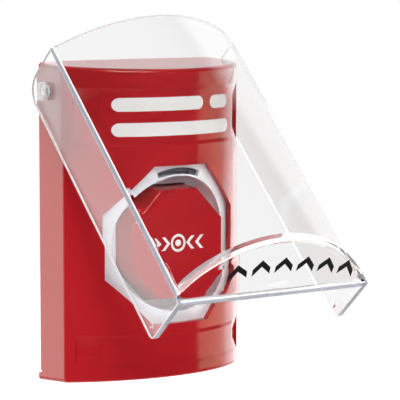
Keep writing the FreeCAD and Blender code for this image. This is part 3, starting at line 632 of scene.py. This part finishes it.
class PUSHBUTTON_OT_housing(bpy.types.Operator):
    """Finish the red housing and its label plates"""

    bl_idname = "push_button.housing"
    bl_label = "Housing"

    def execute(self, context):
        red = moulded_plastic("red_moulding", finishes().red, roughness=0.14, gloss=WARM_GLOSS)
        paint(("housing_shell", "upper_label_insert", "lower_label_insert"), red)
        return {"FINISHED"}


class PUSHBUTTON_OT_reflector(bpy.types.Operator):
    """Finish the white reflector plate and what shows through its slot"""

    bl_idname = "push_button.reflector"
    bl_label = "Reflector"

    def execute(self, context):
        colours = finishes()
        white = moulded_plastic("white_moulding", colours.white, roughness=0.12)
        paint(("reflector_plate",), white)
        carrier = moulded_plastic("carrier_moulding", colours.carrier, roughness=0.3)
        paint(("latch_carrier",), carrier)
        paint(("latch_leaf",), plated_steel("leaf_steel", colours.steel, roughness=0.2))
        return {"FINISHED"}


class PUSHBUTTON_OT_button(bpy.types.Operator):
    """Finish the red octagonal button"""

    bl_idname = "push_button.button"
    bl_label = "Button"

    def execute(self, context):
        red = moulded_plastic("button_moulding", finishes().red, roughness=0.12, gloss=WARM_GLOSS)
        paint(("button_cap",), red)
        return {"FINISHED"}


class PUSHBUTTON_OT_cover(bpy.types.Operator):
    """Give the clear cover its polished walls, its satin edges with a painted sheen and painted
    highlight lines, and its rounded bend
    """

    bl_idname = "push_button.cover"
    bl_label = "Cover"

    def execute(self, context):
        piece = finer_copy("cover_shell", "clear_cover")
        colours = finishes()
        for material in (
            clear_plastic("clear_moulding", colours.clear),
            clear_plastic("clear_sides", colours.clear_side),
            edge_sheen_plastic("clear_edge_sheen", colours.edge, clearness=0.35, change=0.06),
            edge_sheen_plastic("clear_edge_glints", colours.glint, clearness=0.1, change=0.03),
            # The bend, the lip's corner and the cover's ends are seen straight through, under a
            # pale veil that paints the reflection on their curved plastic
            veil_plastic("clear_bend", colours.glint, share=0.2),
            veil_plastic("clear_ends", colours.glint, share=0.45),
        ):
            piece.data.materials.append(material)
        side = max(vertex.co.x for vertex in piece.data.vertices)
        round_bend(piece)
        cut_bands(piece, side)
        for face in piece.data.polygons:
            if face.material_index != BEND:
                face.material_index = cover_finish(face.center, face.normal, side)
        select_only(piece)
        bpy.ops.object.shade_smooth_by_angle(angle=COVER_SMOOTH)
        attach(piece, COVER)
        pins = veil_plastic("pin_plastic", colours.pins, share=0.22)
        paint(("hinge_pin_left", "hinge_pin_right"), pins)
        return {"FINISHED"}


def round_bend(piece):
    """Rounds the bend between plate and lip, outside and inside, and gives it its own finish."""
    for radius, reach, offset in BENDS:
        select_bend(piece, radius, reach)
        bpy.ops.mesh.bevel(
            offset=offset, segments=BEND_STEPS, affect="EDGES", clamp_overlap=False, material=BEND,
        )
        leave_edit()


def select_bend(piece, radius, reach):
    """Selects, in edit mode, the sharp edges between plate and lip on one side of the plate."""
    select_only(piece)
    bpy.ops.object.mode_set(mode="EDIT")
    bpy.ops.mesh.select_mode(type="EDGE")
    bpy.ops.mesh.select_all(action="DESELECT")
    bpy.ops.mesh.edges_select_sharp(sharpness=BEND_SHARPNESS)
    leave_edit()
    mesh = piece.data
    places = [vertex.co - HINGE for vertex in mesh.vertices]
    chosen = []
    for edge in mesh.edges:
        middle = (places[edge.vertices[0]] + places[edge.vertices[1]]) / 2
        down, out = middle @ COVER_DOWN, middle @ COVER_OUT
        off_plate = abs(math.hypot(middle.x, out - COVER_AXIS) - radius)
        at_bend = BEND_START < down < BEND_STOP and abs(middle.x) < reach
        if edge.select and at_bend and off_plate < BEND_SLACK:
            chosen.append(edge)
    for item in (*mesh.vertices, *mesh.edges, *mesh.polygons):
        item.select = False
    for edge in chosen:
        edge.select = True
        for number in edge.vertices:
            mesh.vertices[number].select = True
    bpy.ops.object.mode_set(mode="EDIT")


def cut_bands(piece, side):
    """Cuts the cover along the borders of its painted sheen bands and painted highlight lines."""
    for way in (-1, 1):
        for inset in (PLATE_BAND, PLATE_BAND + EDGE_LINE):
            cut_across(piece, RIGHT * (way * (side - inset)), RIGHT)
    for out in (
        COVER_FRONT - EDGE_LINE, COVER_BACK + EDGE_LINE, COVER_BACK + BACK_BAND - EDGE_LINE,
        COVER_BACK + BACK_BAND,
    ):
        cut_across(piece, HINGE + COVER_OUT * out, COVER_OUT)
    for rise in (WALL_BAND, WALL_BAND + EDGE_LINE, RIM_BAND, RIM_BAND + EDGE_LINE):
        cut_across(piece, HINGE + COVER_DOWN * (COVER_BOTTOM - rise), COVER_DOWN)


def cover_finish(place, normal, side):
    """The number of the finish at a place on the cover, whose outer faces stand at side."""
    left, across = place.x < 0, abs(place.x)
    down, out = (place - HINGE) @ COVER_DOWN, (place - HINGE) @ COVER_OUT
    above_rim = COVER_BOTTOM - down
    faces_side = -normal.x if left else normal.x
    faces_down, faces_out = normal @ COVER_DOWN, normal @ COVER_OUT
    # Edge bands get a painted grey sheen and the lines beside them painted highlights; the ends and
    # the lip's corner get a pale veil that paints reflection
    if faces_side > FLAT_SIDE and across > side - NEAR:
        return side_finish(left, above_rim, out)
    if across > side - PLATE_BAND - EDGE_LINE and faces_side > TURNED and faces_out > 0:
        return EDGE_SHEEN if across > side - PLATE_BAND else EDGE_GLINT
    if faces_down < -FLAT_END and down < COVER_TOP + NEAR:
        return EDGE_GLINT if across > side - COVER_WALL else END
    if faces_out < -TURNED and out < COVER_FRONT - COVER_WALL:
        return EDGE_GLINT if left else END
    if abs(normal.x) < EDGE_ON and across > side - COVER_WALL:
        return EDGE_SHEEN if down > 0 else EDGE_GLINT
    if faces_down > FLAT_END and above_rim < NEAR:
        return EDGE_SHEEN
    if faces_out > FLAT_FRONT and out > COVER_FRONT - NEAR and above_rim < RIM_BAND + EDGE_LINE:
        return EDGE_SHEEN if above_rim < RIM_BAND else EDGE_GLINT
    if place.x > side - CORNER_WIDTH and above_rim < CORNER_HEIGHT:
        if faces_out > TURNED or faces_down > SLOPED:
            return BEND
    if faces_side < -FLAT_SIDE and across > side - COVER_WALL - NEAR:
        return CLEAR_SIDE if left else CLEAR
    return CLEAR


def side_finish(left, above_rim, out):
    """The finish on the flat outer face of a side wall: a painted sheen along its bottom, and
    painted highlight lines at its front and above that sheen; only the left one has highlight lines
    at its back, and the darker side tint.
    """
    if above_rim < WALL_BAND:
        return EDGE_SHEEN
    if COVER_FRONT - out < EDGE_LINE or above_rim < WALL_BAND + EDGE_LINE:
        return EDGE_GLINT
    if not left:
        return CLEAR
    behind = out - COVER_BACK
    on_line = behind < EDGE_LINE or 0 < BACK_BAND - behind < EDGE_LINE
    return EDGE_GLINT if on_line else CLEAR_SIDE


class PUSHBUTTON_OT_inner_parts(bpy.types.Operator):
    """Finish the parts inside the housing and at its back"""

    bl_idname = "push_button.inner_parts"
    bl_label = "Inner parts"

    def execute(self, context):
        colours = finishes()
        grey = moulded_plastic("grey_moulding", colours.grey, roughness=0.45, specular=0.4)
        dark = moulded_plastic("black_moulding", colours.dark, roughness=0.4, specular=0.4)
        steel = plated_steel("plated_steel", colours.steel, roughness=0.28)
        paint(("back_plate", "switch_bridge", "button_stem"), grey)
        paint(("contact_plunger_left", "contact_plunger_right"), grey)
        paint(("contact_block_left", "contact_block_right"), dark)
        paint(("stem_clip", "lock_screw", "bridge_screws", "reflector_screws"), steel)
        paint(("terminal_screws_left", "terminal_screws_right"), steel)
        coil = finer_copy("return_spring", "coil_spring")
        coil.data.materials.append(steel)
        bpy.ops.object.shade_smooth_by_angle(angle=COIL_SMOOTH)
        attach(coil, STATION)
        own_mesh(coil)
        return {"FINISHED"}


class PUSHBUTTON_OT_pad_marks(bpy.types.Operator):
    """Print two rows of plain white bars on the upper label"""

    bl_idname = "push_button.pad_marks"
    bl_label = "Label marks"

    def execute(self, context):
        bar, rise = marks().pad_bar, marks().pad_pitch / 2
        deselect_all()
        parts = [flat_bar(length, bar, (across, row * rise)) for length, across, row in LABEL_BARS]
        ink = printed_ink("white_ink", finishes().print_white)
        print_mark(parts, "label_marks", before_front(LABEL_HEIGHT), "upper_label_insert", ink,
                   STATION)
        return {"FINISHED"}


class PUSHBUTTON_OT_button_mark(bpy.types.Operator):
    """Print a plain press sign on the button: a ring with a dot, and chevrons that point at it"""

    bl_idname = "push_button.button_mark"
    bl_label = "Button mark"

    def execute(self, context):
        deselect_all()
        parts = [flat_ring(RING_INNER, RING_OUTER, (0, 0)), flat_ring(0, DOT_RADIUS, (0, 0))]
        for side in (-1, 1):
            for step in range(SIGN_COUNT):
                centre = (side * (SIGN_START + SIGN_PITCH * step), 0)
                parts.append(flat_chevron(*SIGN_CHEVRON, centre, side * math.pi / 2))
        ink = printed_ink("button_ink", finishes().print_white)
        print_mark(parts, "button_mark", before_front(BUTTON_HEIGHT), "button_cap", ink,
                   BUTTON)
        return {"FINISHED"}


class PUSHBUTTON_OT_lip_marks(bpy.types.Operator):
    """Print a row of plain lift chevrons on the cover's lip"""

    bl_idname = "push_button.lip_marks"
    bl_label = "Lip chevrons"

    def execute(self, context):
        deselect_all()
        count = marks().lip_arrows
        parts = []
        for number in range(count):
            share = 2 * number / (count - 1) - 1
            across = marks().lip_shift + share * marks().lip_spread
            centre = (across, LIP_ROW_TOP - across * across / LIP_ROW_ARCH)
            parts.append(flat_chevron(*LIP_CHEVRON, centre, -across / LIP_ROW_TURN))
        stand = facing(LIP_MIDDLE + LIP_FACING * LIP_STAND, RIGHT, LIP_FACING)
        ink = printed_ink("black_ink", finishes().print_black)
        print_mark(parts, "lip_marks", stand, "cover_shell", ink, COVER)
        return {"FINISHED"}


class PUSHBUTTON_OT_studio(bpy.types.Operator):
    """Set up the floor, the white surroundings, the lights and the camera"""

    bl_idname = "push_button.studio"
    bl_label = "Studio"

    def execute(self, context):
        deselect_all()
        bpy.ops.mesh.primitive_plane_add(size=FLOOR_SIZE, location=(0, FLOOR_MIDDLE, FLOOR_HEIGHT))
        floor = context.object
        floor.name = "floor"
        floor.visible_glossy = False
        settle()
        floor.data.materials.append(floor_paint("floor_paint"))
        context.scene.world = surroundings("surroundings")
        context.scene.view_settings.view_transform = "Standard"
        light = studio()
        softbox("key_softbox", *KEY_PLACE, light.key)
        softbox("left_panel", *LEFT_PLACE, light.left)
        softbox("right_panel", *RIGHT_PLACE, light.right, light.warmth)
        softbox("right_rear_panel", *REAR_PLACE, light.rear)
        place_camera(context)
        return {"FINISHED"}


def give(tree, socket, value):
    """Gives a socket a number, or joins another node's output to it."""
    if isinstance(value, (int, float)):
        socket.default_value = value
    else:
        tree.links.new(value, socket)


def add_math(tree, operation, first, second):
    """The result of a sum on two numbers or outputs."""
    node = tree.nodes.new("ShaderNodeMath")
    node.operation = operation
    give(tree, node.inputs[0], first)
    give(tree, node.inputs[1], second)
    return node.outputs["Value"]


def add_blend(tree, factor, low, high):
    """A number that goes from low to high with a factor."""
    node = tree.nodes.new("ShaderNodeMix")
    give(tree, node.inputs["Factor"], factor)
    give(tree, node.inputs["A"], low)
    give(tree, node.inputs["B"], high)
    return node.outputs["Result"]


def surroundings(name):
    """White surroundings to look at, which light and gloss the button mostly from behind."""
    world = bpy.data.worlds.new(name)
    world.use_nodes = True
    tree = world.node_tree
    background = tree.nodes["Background"]
    background.inputs["Color"].default_value = (*WHITE, 1)
    place = tree.nodes.new("ShaderNodeTexCoord")
    split = tree.nodes.new("ShaderNodeSeparateXYZ")
    tree.links.new(place.outputs["Generated"], split.inputs["Vector"])
    behind = tree.nodes.new("ShaderNodeMapRange")
    behind.inputs["From Min"].default_value, behind.inputs["From Max"].default_value = WALL_FADE
    tree.links.new(split.outputs["Y"], behind.inputs["Value"])
    path = tree.nodes.new("ShaderNodeLightPath")
    diffuse, glossy = path.outputs["Diffuse Depth"], path.outputs["Glossy Depth"]
    lit = add_math(tree, "GREATER_THAN", diffuse, FIRST_BOUNCE)
    front = add_blend(tree, lit, studio().front_gloss, studio().front_fill)
    back = add_blend(tree, lit, studio().back_gloss, studio().backdrop)
    strength = add_blend(tree, behind.outputs["Result"], front, back)
    bounces = add_math(tree, "ADD", diffuse, glossy)
    seen = add_math(tree, "LESS_THAN", bounces, FIRST_BOUNCE)
    strength = add_math(tree, "MAXIMUM", strength, seen)
    tree.links.new(strength, background.inputs["Strength"])
    return world


def softbox(name, azimuth, elevation, distance, size, radiance, colour=WHITE):
    """A soft rectangular light at a bearing, in degrees, that faces the button."""
    turn, rise = math.radians(azimuth), math.radians(elevation)
    level = math.cos(rise)
    way = Vector((math.sin(turn) * level, -math.cos(turn) * level, math.sin(rise)))
    light = bpy.data.lights.new(name, "AREA")
    light.shape = "RECTANGLE"
    light.size, light.size_y = size
    light.energy = radiance * math.pi * size[0] * size[1]
    light.color = colour
    lamp = bpy.data.objects.new(name, light)
    bpy.context.scene.collection.objects.link(lamp)
    lamp.location = way * distance
    lamp.rotation_euler = (-way).to_track_quat("-Z", "Y").to_euler()
    lamp.visible_camera = False


def place_camera(context):
    """Adds the camera and points it at its target."""
    settings = studio()
    turn, rise = settings.azimuth, settings.elevation
    level = math.cos(rise)
    back = Vector((-math.sin(turn) * level, -math.cos(turn) * level, math.sin(rise)))
    camera = bpy.data.objects.new("camera", bpy.data.cameras.new("camera"))
    context.scene.collection.objects.link(camera)
    camera.location = CAMERA_TARGET + back * settings.distance
    camera.rotation_euler = (-back).to_track_quat("-Z", "Y").to_euler()
    camera.data.lens = settings.lens
    camera.data.sensor_width = SENSOR_WIDTH
    context.scene.camera = camera


class PUSHBUTTON_PT_panel(bpy.types.Panel):
    """Lists the settings and the steps in the sidebar"""

    bl_idname = "PUSHBUTTON_PT_panel"
    bl_label = "Push Button"
    bl_space_type = "VIEW_3D"
    bl_region_type = "UI"
    bl_category = "Push Button"

    def draw(self, context):
        for group in (finishes(), marks(), studio()):
            box = self.layout.box()
            for name in group.bl_rna.properties.keys():
                if name not in ("rna_type", "name"):
                    box.prop(group, name)
        for operator in OPERATORS:
            self.layout.operator(operator.bl_idname)


OPERATORS = (
    PUSHBUTTON_OT_studio,
    PUSHBUTTON_OT_housing,
    PUSHBUTTON_OT_reflector,
    PUSHBUTTON_OT_button,
    PUSHBUTTON_OT_cover,
    PUSHBUTTON_OT_inner_parts,
    PUSHBUTTON_OT_pad_marks,
    PUSHBUTTON_OT_button_mark,
    PUSHBUTTON_OT_lip_marks,
)
CLASSES = (FinishColours, MarkSizes, StudioSettings, *OPERATORS, PUSHBUTTON_PT_panel)


def register():
    for kind in CLASSES:
        bpy.utils.register_class(kind)
    bpy.types.Scene.push_button_finishes = PointerProperty(type=FinishColours)
    bpy.types.Scene.push_button_marks = PointerProperty(type=MarkSizes)
    bpy.types.Scene.push_button_studio = PointerProperty(type=StudioSettings)


def unregister():
    del bpy.types.Scene.push_button_studio
    del bpy.types.Scene.push_button_marks
    del bpy.types.Scene.push_button_finishes
    for kind in reversed(CLASSES):
        bpy.utils.unregister_class(kind)


def main():
    register()
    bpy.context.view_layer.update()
    bpy.ops.push_button.studio()
    bpy.ops.push_button.housing()
    bpy.ops.push_button.reflector()
    bpy.ops.push_button.button()
    bpy.ops.push_button.cover()
    bpy.ops.push_button.inner_parts()
    bpy.ops.push_button.pad_marks()
    bpy.ops.push_button.button_mark()
    bpy.ops.push_button.lip_marks()


if __name__ == "__main__":
    main()
